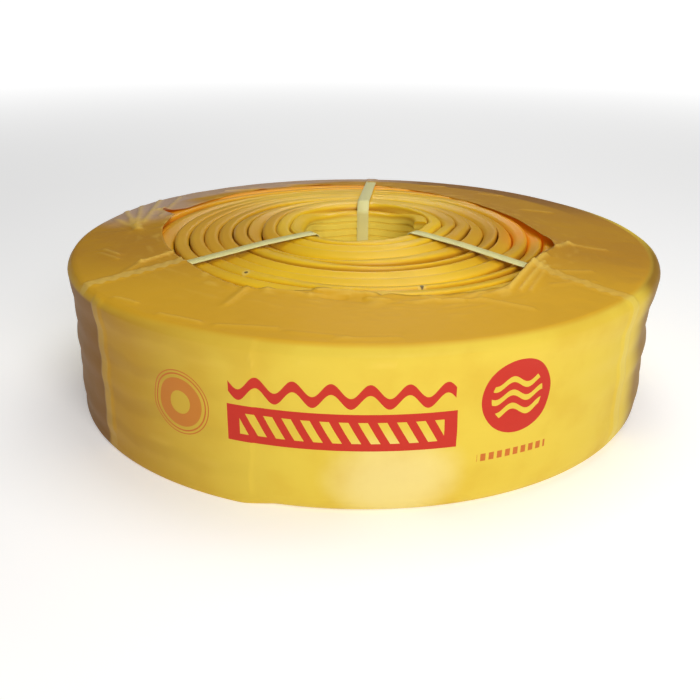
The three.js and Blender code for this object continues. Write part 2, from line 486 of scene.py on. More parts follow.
def close_tree(bench, geometry, material):
    """Ends a tree in realized instances with a material"""
    real = bench.node("GeometryNodeRealizeInstances", {"Geometry": geometry})
    painted = bench.node("GeometryNodeSetMaterial", {"Geometry": real, "Material": material})
    group_out = bench.tree.nodes.new("NodeGroupOutput")
    bench.tree.links.new(painted.socket, group_out.inputs["Geometry"])


def run_tree(name, tree, inputs, start=None):
    """Evaluates a Geometry Nodes tree, on a start object or an empty one, and keeps the mesh"""
    carrier = start
    if carrier is None:
        carrier = bpy.data.objects.new(name, bpy.data.meshes.new(name))
        bpy.context.scene.collection.objects.link(carrier)
    modifier = carrier.modifiers.new("Nodes", "NODES")
    modifier.node_group = tree
    for item in tree.interface.items_tree:
        if item.item_type == "SOCKET" and item.in_out == "INPUT" and item.name in inputs:
            modifier[item.identifier] = inputs[item.name]
    bpy.context.view_layer.update()
    evaluated = carrier.evaluated_get(bpy.context.evaluated_depsgraph_get())
    mesh = bpy.data.meshes.new_from_object(evaluated)
    mesh.name = name
    carrier.modifiers.remove(modifier)
    bpy.data.objects.remove(carrier)
    if not mesh.polygons:
        raise RuntimeError(name + " came out empty")
    turn_outwards(mesh)
    return mesh


def turn_outwards(mesh):
    """Turns every face of a closed mesh outwards"""
    shape = bmesh.new()
    shape.from_mesh(mesh)
    bmesh.ops.recalc_face_normals(shape, faces=shape.faces)
    shape.to_mesh(mesh)
    shape.free()


def new_material(name):
    """A material with one Principled BSDF, and the bench to wire it"""
    made = bpy.data.materials.new(name)
    made.use_nodes = True
    return made, Bench(made.node_tree), made.node_tree.nodes["Principled BSDF"]


def wire_in(shader, name, wire):
    wire.bench.tree.links.new(wire.socket, shader.inputs[name])


def bump(shader, height, distance):
    wire_in(shader, "Normal", height.bench.node("ShaderNodeBump", {
        "Height": height, "Distance": distance}))


def object_place(bench):
    """The Object coordinates, whole and as x, y and z in metres"""
    place = bench.node("ShaderNodeTexCoord", output="Object")
    return place, *bench.split(place)


def darker(tone, share):
    return (*(channel * share for channel in tone[:3]), 1)


def strip_material():
    """Extruded soft PVC: golden, semi-gloss, with fine draw lines, painted shade in the gaps and at
    the sides, and painted light in the bore and near the film
    """
    colours = settings().colours
    made, bench, shader = new_material("ribbed_pvc")
    place, x, y, z = object_place(bench)
    across, along = bench.attribute("across"), bench.attribute("along")
    depth = settings().strip.width / 2 - abs(across)
    radius = bench.reach(x, y)
    in_bore = 1 - bench.ease(radius, 0.085, 0.1)
    # Painted shade: browner to the left and the right. Painted light: orange near the film along the
    # back, as if lit through it
    flanks = bench.ease(abs(x) / (radius + 0.001), 0.45, 0.95)
    side_shaded = bench.blend(flanks * (1 - in_bore) * 0.55, colours.strip, colours.strip_shade)
    from_middle = bench.reach(x - OPENING_MIDDLE[0], y - OPENING_MIDDLE[1])
    behind = bench.ease(y, -0.07, 0.0)
    near_film = bench.ease(from_middle, 0.160, 0.205) * behind
    lit_through_film = bench.blend(near_film * 0.55, side_shaded, colours.strip_film_lit)
    shadowed = bench.blend(near_film * 0.6, colours.strip_gap_shade, colours.strip_film_lit)
    # Painted shade: a thin darker line along both edges of each turn, then darker still deep in the
    # gap
    edge_shaded = bench.blend(bench.ease(depth, 0.0012, 0.0036) * 0.4, lit_through_film, colours.strip_shade)
    deep = bench.ease(depth, 0.0018, 0.0075)
    tone = bench.blend(deep * (1 - in_bore * 0.9) * 0.9, edge_shaded, shadowed)
    # Painted light: the wall of the bore takes a lighter copy of the PVC, as if lit from above
    tone = bench.blend(in_bore * deep * 0.85, tone, colours.strip_bore_lit)
    blotches = bench.ease(bench.speckle(place, 0.045), 0.42, 0.72)
    tone = bench.blend(blotches * 0.35, tone, darker(colours.strip, 0.78))
    upper = z > 0.1
    for eyelet in EYELETS:
        eye_x, eye_y = map(float, polar(*eyelet))
        off_x, off_y = x - eye_x, y - eye_y
        off = bench.math("SQRT", off_x * off_x + off_y * off_y * 0.5)
        ring = 1 - bench.ease(off, 0.0035, 0.0045)
        # Painted shade: a dark spot stands for the hole of each eyelet, which is colour only
        hole = 1 - bench.ease(off, 0.0014, 0.0021)
        tone = bench.blend(ring * upper * 0.45, tone, colours.eyelet)
        tone = bench.blend(hole * upper * 0.9, tone, colours.eyelet_hole_shade)
    wire_in(shader, "Base Color", tone)
    # Painted glow: the turn under the film's back edge glows red, standing in for light that comes
    # through the film
    lit = bench.ease(from_middle, 0.180, 0.202) * behind
    wire_in(shader, "Emission Color", bench.blend(lit, (0, 0, 0, 1), colours.strip_painted_glow))
    shader.inputs["Emission Strength"].default_value = 0.3
    drawn = bench.node("ShaderNodeTexNoise", {
        "Vector": bench.join(X=along * 4, Y=across * 900), "Scale": 1.0, "Detail": 2.0},
        noise_dimensions="2D")
    wire_in(shader, "Roughness", bench.scale(drawn, 0.28, 0.42))
    shader.inputs["Specular IOR Level"].default_value = 0.28
    bump(shader, drawn, 0.00025)
    return made


def strip_section():
    """The outline of the strip's section, with its width upright"""
    strip = settings().strip
    half_width = strip.width / 2
    bead = strip.thickness / 2
    web = strip.web_thickness / 2
    rib = bead - 0.3 * MM
    thin = web * 0.7
    # From the round edge past the ribs and the thin web to the bulb in the middle
    ribs_start = half_width - 11.2 * MM
    edge = [(side * MM, half_width + drop * MM) for side, drop in ROUND_EDGE]
    edge.append((bead, ribs_start + 1.0 * MM))
    for index in range(strip.ribs_per_edge):
        top = ribs_start - index * strip.rib_pitch
        edge += [(web, top), (web, top - 0.6 * MM), (rib, top - 1.8 * MM),
                 (rib, top - strip.rib_pitch + 1.0 * MM)]
    last = ribs_start - strip.ribs_per_edge * strip.rib_pitch
    edge += [(web, last), (thin, last - 4 * MM), (thin, 9 * MM), (bead - 0.4 * MM, 4 * MM)]
    right = edge + [(side, -up) for side, up in reversed(edge)]
    left = [(-side, -up) for side, up in right[1:-1]]
    return right + left


def strip_inputs(section):
    """Named inputs of the wound strip: its section, and sizes in metres and radians"""
    strip = settings().strip
    inputs = {
        "section": section,
        "turns": (strip.rim_radius - strip.bore_start - strip.thickness) / strip.pitch,
        "steps_per_turn": float(strip.steps_per_turn),
        "half_thickness": strip.thickness / 2,
        "crown": crown_rise(),
        "base": COIL_LOW.z,
    }
    for name in ("width", "pitch", "bore_start", "end_direction", "end_cut", "bore_offset",
                 "bore_stretch", "bore_rise", "back_drop", "level_radius", "crown_radius", "slip",
                 "edge_slope", "rim_radius", "rim_round"):
        inputs[name] = getattr(strip, name)
    return inputs


def centre_line(bench, given):
    """The strip's centre line from its inner end outwards, which keeps its length and its turn"""
    steps = given["steps_per_turn"]
    line = bench.node("GeometryNodeMeshLine", {"Count": given["turns"] * steps + 1})
    curve = bench.node("GeometryNodeMeshToCurve", {"Mesh": line})
    turn = bench.node("GeometryNodeInputIndex") / steps
    complete = bench.math("FLOOR", turn)
    part = turn - complete
    # Near the bore each turn climbs over the strip's end late in its round, further out evenly
    climb = bench.node("ShaderNodeFloatCurve", {"Value": part}, points=FIRST_TURN)
    even = bench.ease(turn, 1.0, 7.0)
    gained = complete + climb * (1 - even) + part * even
    uneven = (bench.noise_along(turn * 1.7 + 4.0) - 0.5) * 0.0024 * bench.ease(turn, 0.8, 2.0)
    radius = given["bore_start"] + given["half_thickness"] + gained * given["pitch"] + uneven
    # Round at the rim, and an oval shifted towards +Y at the bore
    direction = given["end_direction"] + turn * math.tau
    level = given["level_radius"]
    share = ((level - radius) / (level - given["bore_start"])).at_least(0.0)
    sine = bench.sine(direction)
    x = radius * bench.math("COSINE", direction)
    y = radius * sine + share * (given["bore_offset"] + given["bore_stretch"] * sine)
    reach = bench.reach(x, y)
    crown_share = ((level - reach) / (level - given["crown_radius"])).at_least(0.0).at_most(1.0)
    risen = (1 - bench.ease(reach, 0.080, 0.120)) * given["bore_rise"]
    sunk = given["back_drop"] * bench.ease(sine, 0.1, 0.9) * (turn < 0.75)
    # Every second turn or so has slipped down a little, most in the middle of the roll
    slipped = bench.ease(bench.noise_along(turn * 1.15, 1.0), 0.34, 0.64) * given["slip"]
    slipped = slipped * bench.ease(crown_share, 0.40, 0.75) * bench.ease(turn, 1.1, 2.0)
    middle = given["base"] + given["width"] / 2
    z = middle + crown_share * given["crown"] + risen - slipped - sunk
    laid = bench.moved(curve, Position=bench.join(X=x, Y=y, Z=z))
    upright = bench.node("GeometryNodeSetCurveNormal", {"Curve": laid}, mode="Z_UP")
    along = bench.node("GeometryNodeSplineParameter", output="Length")
    return bench.stored(bench.stored(upright, "along", along), "turn", turn)


def lean_edges(bench, given, geometry):
    """The edge of each turn leans a little, now inwards and now outwards"""
    lean = bench.ease(bench.noise_along(bench.read("turn") * 1.3 + 9.0), 0.3, 0.7)
    slope = (lean - 0.5) * 2 * given["edge_slope"]
    across = bench.read("across")
    # Only the last few millimetres lean
    from_edge = given["width"] / 2 - abs(across)
    at_edge = 1 - bench.ease(from_edge, 3.5 * MM, 9.0 * MM)
    shear = slope * bench.read("side") - abs(slope) * given["half_thickness"]
    # The section is wound with its +Y edge down, and both edges lean into the strip
    into = 1 - (across > 0.0) * 2
    return bench.moved(geometry, Offset=bench.join(Z=shear * at_edge * into))


def cut_end(bench, given, line, geometry):
    """The inner end is cut on a slant: what lies before the cut is drawn up to it along the line"""
    # The cut slants below the upper edge, and lies within the first part of the strip
    slanted_height = 0.045
    first_part = 0.2
    from_top = bench.read("across") + given["width"] / 2
    start = bench.read("along").at_most(first_part)
    end = (given["end_cut"] * bench.ease(from_top, 0.0, slanted_height)).at_least(start)
    before, after = [
        bench.node(
            "GeometryNodeSampleCurve", {"Curves": line, "Length": where}, "Position", mode="LENGTH")
        for where in (start, end)]
    offset = bench.vector("SUBTRACT", bench.node("GeometryNodeInputPosition"), before)
    sideways = bench.vector("DOT_PRODUCT", offset, before.other("Normal"), "Value")
    outward = bench.node("ShaderNodeVectorMath", {
        0: after.other("Normal"), "Scale": sideways}, operation="SCALE")
    upward = bench.join(Z=bench.split(offset)[2])
    drawn = bench.vector("ADD", after, bench.vector("ADD", outward, upward))
    return bench.moved(geometry, Selection=end > start, Position=drawn)


def press_rim(bench, given, geometry):
    """The lower edge of the outermost turn is pressed round"""
    x, y, z = bench.split(bench.node("GeometryNodeInputPosition"))
    rounding = given["rim_round"]
    reach = bench.reach(x, y)
    beyond = (reach - given["rim_radius"] + rounding).at_least(0.0)
    below = (given["base"] + rounding - z).at_least(0.0)
    never_zero = 1e-6
    pull = 1 - (rounding / (bench.reach(beyond, below) + never_zero)).at_most(1.0)
    narrower = 1 - beyond * pull / reach
    pressed = bench.join(X=x * narrower, Y=y * narrower, Z=z + below * pull)
    return bench.moved(geometry, Selection=(beyond > 0.0) * (below > 0.0), Position=pressed)


def strip_tree(material, inputs):
    """The strip wound as a spiral: its centre line is laid, and its section is drawn along it"""
    tree, bench, given = new_tree("wound_strip", inputs)
    line = centre_line(bench, given)
    section = bench.node("GeometryNodeObjectInfo", {"Object": given["section"]}, "Geometry")
    side, up, _ = bench.split(bench.node("GeometryNodeInputPosition"))
    marked = bench.stored(bench.stored(section, "side", side), "across", up)
    solid = bench.node("GeometryNodeCurveToMesh", {
        "Curve": line, "Profile Curve": marked, "Fill Caps": True})
    leaned = lean_edges(bench, given, solid)
    cut = cut_end(bench, given, line, leaned)
    smooth = bench.node("GeometryNodeSetShadeSmooth", {"Geometry": press_rim(bench, given, cut)})
    bend = bench.node("GeometryNodeInputMeshEdgeAngle", output="Unsigned Angle")
    crisp = bench.node("GeometryNodeSetShadeSmooth", {
        "Geometry": smooth, "Selection": bend > CRISP_BEND, "Shade Smooth": False}, domain="EDGE")
    close_tree(bench, crisp, material)
    return tree


class WATERSTOP_OT_wind_strip(bpy.types.Operator):
    """Wind the ribbed strip into its spiral"""

    bl_idname = "waterstop.wind_strip"
    bl_label = "Wind strip"

    def execute(self, context):
        section = closed_curve("strip_section", strip_section())
        inputs = strip_inputs(section)
        mesh = run_tree("waterstop_strip", strip_tree(strip_material(), inputs), inputs)
        bpy.data.objects.remove(section)
        add_piece("waterstop_strip", mesh, "waterstop_coil")
        return {"FINISHED"}


def strap_material():
    """Embossed polypropylene strapping, pale green-cream"""
    made, bench, shader = new_material("strapping")
    colours = settings().colours
    along, across = bench.attribute("along"), bench.attribute("across")
    rows = math.tau / 0.0026
    crossed = bench.sine((along + across) * rows) * bench.sine((along - across) * rows)
    diamonds = bench.ease(crossed, -0.5, 0.5)
    clouds = bench.speckle(object_place(bench)[0], 0.03)
    tone = bench.blend(clouds * 0.6, colours.strap, colours.strap_cloud)
    wire_in(shader, "Base Color", bench.blend(diamonds * 0.25, tone, darker(colours.strap, 0.8)))
    wire_in(shader, "Roughness", bench.scale(clouds, 0.26, 0.4))
    bump(shader, diamonds, 0.00022)
    return made


def strap_tree(material, inputs):
    """A taut flat band along a closed line"""
    tree, bench, given = new_tree("taut_strap", inputs, has_geometry=True)
    bent = bench.node("GeometryNodeFilletCurve", {
        "Curve": given["Geometry"], "Count": 6, "Radius": given["bend_radius"], "Limit Radius": True},
        mode="POLY")
    even = bench.node("GeometryNodeResampleCurve", {
        "Curve": bent, "Length": given["step"]}, mode="LENGTH")
    along = bench.node("GeometryNodeSplineParameter", output="Length")
    section = bench.node("GeometryNodeObjectInfo", {"Object": given["section"]}, "Geometry")
    across = bench.split(bench.node("GeometryNodeInputPosition"))[0]
    band = bench.node("GeometryNodeCurveToMesh", {
        "Curve": bench.stored(even, "along", along),
        "Profile Curve": bench.stored(section, "across", across), "Fill Caps": True})
    close_tree(bench, bench.node("GeometryNodeSetShadeSmooth", {"Geometry": band}), material)
    return tree


def bore_distance(direction):
    """Distance from the roll's axis to the inner face of the innermost turn"""
    strip = settings().strip
    gained = ((direction - strip.end_direction) / math.tau) % 1
    radius = strip.bore_start + strip.pitch * float(np.interp(gained, *zip(*FIRST_TURN)))
    share = (strip.level_radius - radius) / (strip.level_radius - strip.bore_start)
    y = radius * math.sin(direction)
    y += share * (strip.bore_offset + strip.bore_stretch * math.sin(direction))
    return math.hypot(radius * math.cos(direction), y)


def strap_line(at_bore, at_rim):
    """Corners of a strap's centre line around the section of the roll, from the level underside"""
    strip = settings().strip
    strap = settings().strap
    away = strap.clearance + strap.thickness / 2
    bore = bore_distance(at_bore) - away - strap.bore_gap
    rim = strip.rim_radius + away
    low = COIL_LOW.z - away
    high = COIL_LOW.z + strip.width + away
    crown = crown_rise()
    sunk = strip.back_drop * float(smooth_step(math.sin(at_bore), 0.1, 0.9))
    inner = crown + strip.bore_rise
    rounding = strip.rim_round + away
    corners = [(strip.level_radius, low)]
    for turn in np.radians([15, 45, 75]):
        corners.append((rim - rounding * (1 - math.sin(turn)), low + rounding * (1 - math.cos(turn))))
    # It is level over the crown, and dips over the innermost turn to the bore
    onto_crown = strip.crown_radius + 0.015
    innermost = bore + 0.016
    corners += [
        (rim, high), (onto_crown, high + crown), (innermost, high + inner),
        (bore, high + inner - sunk), (bore, low + inner - sunk),
    ]
    first = Vector((math.cos(at_bore), math.sin(at_bore))) * bore
    last = Vector((math.cos(at_rim), math.sin(at_rim))) * rim
    spots = [(first.lerp(last, (reach - bore) / (rim - bore)), height) for reach, height in corners]
    return [(spot.x, spot.y, height) for spot, height in spots]


class WATERSTOP_OT_tie_straps(bpy.types.Operator):
    """Tie the three straps through the bore"""

    bl_idname = "waterstop.tie_straps"
    bl_label = "Tie straps"

    def execute(self, context):
        strap = settings().strap
        half, thin = strap.width / 2, strap.thickness / 2
        section = closed_curve("strap_section", [
            (-half, 0), (-half + thin, -thin), (0, -thin * 0.8), (half - thin, -thin),
            (half, 0), (half - thin, thin), (0, thin * 0.8), (-half + thin, thin)])
        inputs = {"section": section, "bend_radius": strap.bend_radius, "step": strap.step}
        tree = strap_tree(strap_material(), inputs)
        for name, directions in STRAP_DIRECTIONS.items():
            line = closed_curve(name + "_line", strap_line(*map(math.radians, directions)))
            mesh = run_tree(name + "_band", tree, inputs, line)
            add_piece(name + "_band", mesh, name)
        bpy.data.objects.remove(section)
        return {"FINISHED"}


def fold_height(x, y, first, last, width, height):
    """Height of a soft fold along a straight line between two places in metres"""
    run = last - first
    unit = run / math.hypot(*run)
    step_x, step_y = x - first[0], y - first[1]
    forward = step_x * unit[0] + step_y * unit[1]
    sideways = step_y * unit[0] - step_x * unit[1]
    past_ends = np.maximum(np.maximum(-forward, forward - math.hypot(*run)), 0)
    off = np.hypot(sideways, past_ends) / (width * MM)
    # A fold has one steep and one gentle side
    return height * MM * np.exp(-(off * np.where(sideways > 0, 1.5, 0.8)) ** 2)


def noise_at(x, y, z, size, seed):
    """Smooth noise from -1 to 1 at arrays of places in metres"""
    flat = np.stack([x.ravel() / size + seed, y.ravel() / size, z.ravel() / size], axis=1)
    return np.array([noise.noise(Vector(spot)) for spot in flat]).reshape(x.shape)


def around(table, degrees):
    """Values from a table of (direction, value), smooth all round the roll"""
    directions, values = zip(*table)
    values = np.interp(degrees, directions, values, period=360)
    reach = 4
    kernel = np.hanning(2 * reach + 1)
    padded = np.concatenate([values[-reach:], values, values[:reach]])
    return np.convolve(padded, kernel / kernel.sum(), mode="valid")


def bell(off, width):
    """1 where off is 0, and less to both sides"""
    return np.exp(-(off / width) ** 2)


def as_grid(rows, like):
    """Rows of (radius, height), each a number or a value for each direction, as two whole arrays"""
    return [np.stack([row[part] + 0 * like for row in rows], axis=1) for part in (0, 1)]


def rounding_rows(outer, low, rounding, degrees):
    """Rows round the lower rim, at 0 degrees below and at 90 on the side"""
    return [(outer - rounding * (1 - math.sin(turn)), low + rounding * (1 - math.cos(turn)))
            for turn in np.radians(degrees)]


def top_height(radius):
    """Height of the taut line from the rim to the crown, which the film lies on"""
    strip = settings().strip
    outer = strip.level_radius + 0.02
    share = np.clip((outer - radius) / (outer - strip.crown_radius), 0, 1)
    return COIL_LOW.z + strip.width + crown_rise() * share


def film_face(degrees, edge, lower):
    """The film's outer face before it is wrinkled, in rows from its edge below to its edge on top"""
    film = settings().film
    level = settings().strip.level_radius
    # Under the roll the film hangs below the turns, which rise more than it does
    under_rise = crown_rise() * 0.35
    rows = []
    for share in np.linspace(0, 1, 7):
        rows.append((film.underlap + share * (level - film.underlap), (1 - share) * under_rise))
    rows += rounding_rows(film.side_radius, 0, lower, [0, 22, 45, 67, 90])
    # Side, with the flare that the film has at its upper rim
    shoulder = float(top_height(film.rim_radius)) + film.over_turns - film.corner
    for share in np.linspace(0, 1, film.side_rows)[1:]:
        height = lower + share * (shoulder - lower)
        flare = smooth_step(height, shoulder - 0.024, shoulder - 0.002)
        rows.append((film.side_radius + (film.rim_radius - film.side_radius) * flare, height))
    # Upper rim, a flattened rounding
    inner = film.rim_radius - film.corner
    flattened = [(0.985, 0.10), (0.92, 0.24), (0.78, 0.44)]
    for side, up in flattened + [(up, side) for side, up in reversed(flattened)]:
        rows.append((inner + film.corner * side, shoulder + film.corner * up))
    # Top, inwards to the irregular edge
    for share in np.linspace(0, 1, film.top_rows):
        radius = inner + share * (edge - inner)
        rows.append((radius, top_height(radius) + film.over_turns))
    return as_grid(rows, degrees)


def film_wrinkles(direction, edge, radius, height):
    """How far each place of the film stands out from its smooth face, and where its folds crest, for a
    painted highlight
    """
    film = settings().film
    turn = np.radians(direction)[:, None] + 0 * radius
    degrees = direction[:, None] + 0 * radius
    x, y, flat = radius * np.cos(turn), radius * np.sin(turn), 0 * radius
    on_top = smooth_step(-radius, -0.301, -0.295) * (height > 0.1)
    on_side = smooth_step(radius, 0.297, 0.3) * smooth_step(height, 0.004, 0.012)

    # Free edge: it stands off the turns, and is rippled, most in front
    from_edge = np.clip(radius - edge[:, None], 0, None)
    near_edge = np.exp(-from_edge / 0.02)
    lift = around(FILM_EDGE_LIFT, direction)[:, None] * MM * np.exp(-from_edge / 0.016)
    ripple = noise_at(degrees * 0.0013, radius, flat, 0.0065, 3.0)
    rippled = near_edge * np.abs(ripple) * (0.0008 + 0.0032 * bell(degrees - 275, 32))

    # Irregular crumples, most at the back left and on the right
    loose = 0.18 + bell(degrees - 160, 32) * 1.6 + bell(degrees - 335, 22) * 0.9
    large = 1 - 2 * np.abs(noise_at(x, y, flat, 0.05, 11.0))
    small = 1 - 2 * np.abs(noise_at(x, y, flat, 0.02, 27.0))
    crumples = loose * film.crumple * (large * 0.6 + small * 0.4)

    # Folds in the top and in the side
    folds = sum(
        fold_height(x, y, polar(*start), polar(*end), *size) for start, end, *size in FILM_FOLDS)
    arc = np.radians(degrees - 270) * film.side_radius
    creases = sum(
        fold_height(arc, height, np.array(start) * MM, np.array(end) * MM, *size)
        for start, end, *size in SIDE_FOLDS)

    # Ribs of the outermost turn, plainest at the left and the right, and slight dents
    waves = np.cos(height / 0.026 * math.tau) * 0.5 + np.cos(height / 0.041 * math.tau + 1.2) * 0.5
    ribs = 0.0011 * (0.25 + 0.75 * np.cos(turn) ** 2) * waves
    dents = 0.0009 * noise_at(x * 0.5, y * 0.5, height * 2.2, 0.05, 41.0)

    # The film's end overlaps its start, and its rim stands out further on the right
    past_end = np.radians(degrees - FILM_END) * 0.301 - (height - 0.07) * 0.06
    overlap = 0.0007 * smooth_step(-past_end, -0.0012, 0.0012) * smooth_step(past_end, -0.16, -0.02)
    from_right = (degrees + 180) % 360 - 180
    flare = film.right_flare * bell(from_right, 38) * smooth_step(height, 0.105, 0.148)

    out = on_top * (lift + rippled + crumples + folds)
    out += on_side * (creases + ribs + dents + overlap) + flare * smooth_step(radius, 0.299, 0.303)
    out += strap_ridges(degrees, radius, on_top, on_side) * (height > 0.02)
    # Where the folds and the rippled edge crest, for a painted highlight
    edge_crest = near_edge * smooth_step(ripple, 0.15, 0.5) * 0.7
    crest = on_top * (smooth_step(folds, 0.0004, 0.0024) + edge_crest)
    crest += on_side * smooth_step(creases, 0.0003, 0.0012) * 0.6
    return out, crest


def strap_ridges(degrees, radius, on_top, on_side):
    """How far the straps under the film raise it, with the strap's embossing pressed through"""
    half = settings().strap.width / 2
    ridges = 0
    for on_lap, down_side, *_ in STRAP_RIDGES:
        past = np.radians(degrees - np.where(radius > 0.3, down_side, on_lap))
        beside = np.abs(radius * np.sin(past))
        band = 1 - smooth_step(beside + (np.cos(past) < 0), half * 0.75, half * 1.5)
        chevrons = 1 + 0.5 * np.cos((radius + beside * 0.9) * (math.tau / 0.0125))
        ridges = ridges + (on_top * 0.0009 * chevrons + on_side * 0.0012) * band
    return ridges


def film_mesh():
    """The film as a closed shell: a wrinkled outer face, and a plain inner face out of sight"""
    film = settings().film
    direction = np.linspace(0, 360, film.steps_around, endpoint=False)
    edge = around(FILM_EDGE, direction) * MM
    lower = around(FILM_LOWER_RIM, direction) * MM
    radius, height = film_face(direction, edge, lower)
    out, crest = film_wrinkles(direction, edge, radius, height)
    # Each place moves square to the face
    ahead, climb = np.gradient(radius, axis=1), np.gradient(height, axis=1)
    size = np.hypot(ahead, climb) + 1e-12
    face_radius, face_height = climb / size, -ahead / size
    radius = radius + out * face_radius
    height = np.maximum(height + out * face_height, 0)
    # The inner face, from the edge on top back to the edge below: close under the lap, then plain
    last = radius.shape[1] - 1
    wall = 2.4 * MM
    inner = [(radius[:, -1] + 0.2 * MM, height[:, -1] - 0.9 * MM)]
    for back in (4, 14, 30, film.top_rows, film.top_rows + 3):
        row = last - back
        inner.append((radius[:, row] - face_radius[:, row] * wall,
                      height[:, row] - face_height[:, row] * wall))
    gap = film.inner_gap
    inside = film.side_radius - gap
    inner.append((inside, 0.12))
    inner += rounding_rows(inside, gap, lower - gap, [90, 45, 0])
    inner.append((settings().strip.level_radius, gap))
    inner.append((radius[:, 0] + 0.3 * MM, height[:, 0] + gap))
    inner_radius, inner_height = as_grid(inner, direction)
    mesh = closed_rings(
        "wrapping_film", np.radians(direction), np.concatenate([radius, inner_radius], axis=1),
        np.concatenate([height, inner_height], axis=1))
    # The crests of the folds are kept for the material's painted highlight
    kept = np.zeros((len(direction), radius.shape[1] + inner_radius.shape[1]))
    kept[:, :crest.shape[1]] = np.clip(crest, 0, 1)
    mesh.attributes.new("crest", "FLOAT", "POINT").data.foreach_set("value", kept.ravel())
    return mesh


def closed_rings(name, turn, radius, height):
    """A smooth mesh through places around Z, closed all round and from the last row to the first"""
    count, rows = radius.shape
    x, y = radius * np.cos(turn)[:, None], radius * np.sin(turn)[:, None]
    places = np.stack([x, y, height], axis=2).reshape(-1, 3)
    here, row = np.meshgrid(np.arange(count), np.arange(rows), indexing="ij")
    there, above = (here + 1) % count, (row + 1) % rows
    faces = np.stack([
        here * rows + row, there * rows + row, there * rows + above, here * rows + above], axis=2)
    mesh = bpy.data.meshes.new(name)
    mesh.from_pydata(places.tolist(), [], faces.reshape(-1, 4).tolist())
    mesh.update()
    mesh.shade_smooth()
    return mesh


def print_masks(bench, arc, z):
    """Plain generic print on the side: a wave, a striped band, a round badge, bars and a ring.
    Places are in metres, along the rim from the middle of the front, and in height."""
    def box(left, right, low, high):
        return (arc > left) * (arc < right) * (z > low) * (z < high)

    def wave(middle, period, swing, half):
        return abs(z - (middle + bench.sine(arc * (math.tau / period)) * swing)) < half

    def from_place(middle_arc, middle_z):
        return bench.reach(arc - middle_arc, z - middle_z)

    wave_line = wave(0.1105, period=0.031, swing=0.0062, half=0.0048)
    wave_line = wave_line * box(-0.109, 0.077, 0.094, 0.128)
    slant = bench.math("FRACT", (arc + z * 0.55) / 0.0155)
    stripes = box(-0.100, 0.068, 0.069, 0.088) * (slant < 0.5)
    band = box(-0.111, 0.079, 0.062, 0.095) * (1 - stripes)
    from_badge = from_place(0.133, 0.100)
    ripples = sum(
        wave(middle, period=0.030, swing=0.0035, half=0.0026) for middle in (0.112, 0.100, 0.088))
    badge = (from_badge < 0.0335) * (1 - (ripples * (from_badge < 0.0245)).at_most(1.0))
    bars = box(0.098, 0.166, 0.0445, 0.0515) * (bench.math("FRACT", arc / 0.0078) < 0.62)
    from_ring = from_place(-0.158, 0.085)
    ring = (from_ring < 0.0225) * (from_ring > 0.0105)
    lines = (abs(from_ring - 0.0262) < 0.0007) + (abs(from_ring - 0.0292) < 0.0005)
    return (wave_line + band + badge).at_most(1.0), (ring * 0.8 + lines + bars).at_most(1.0)


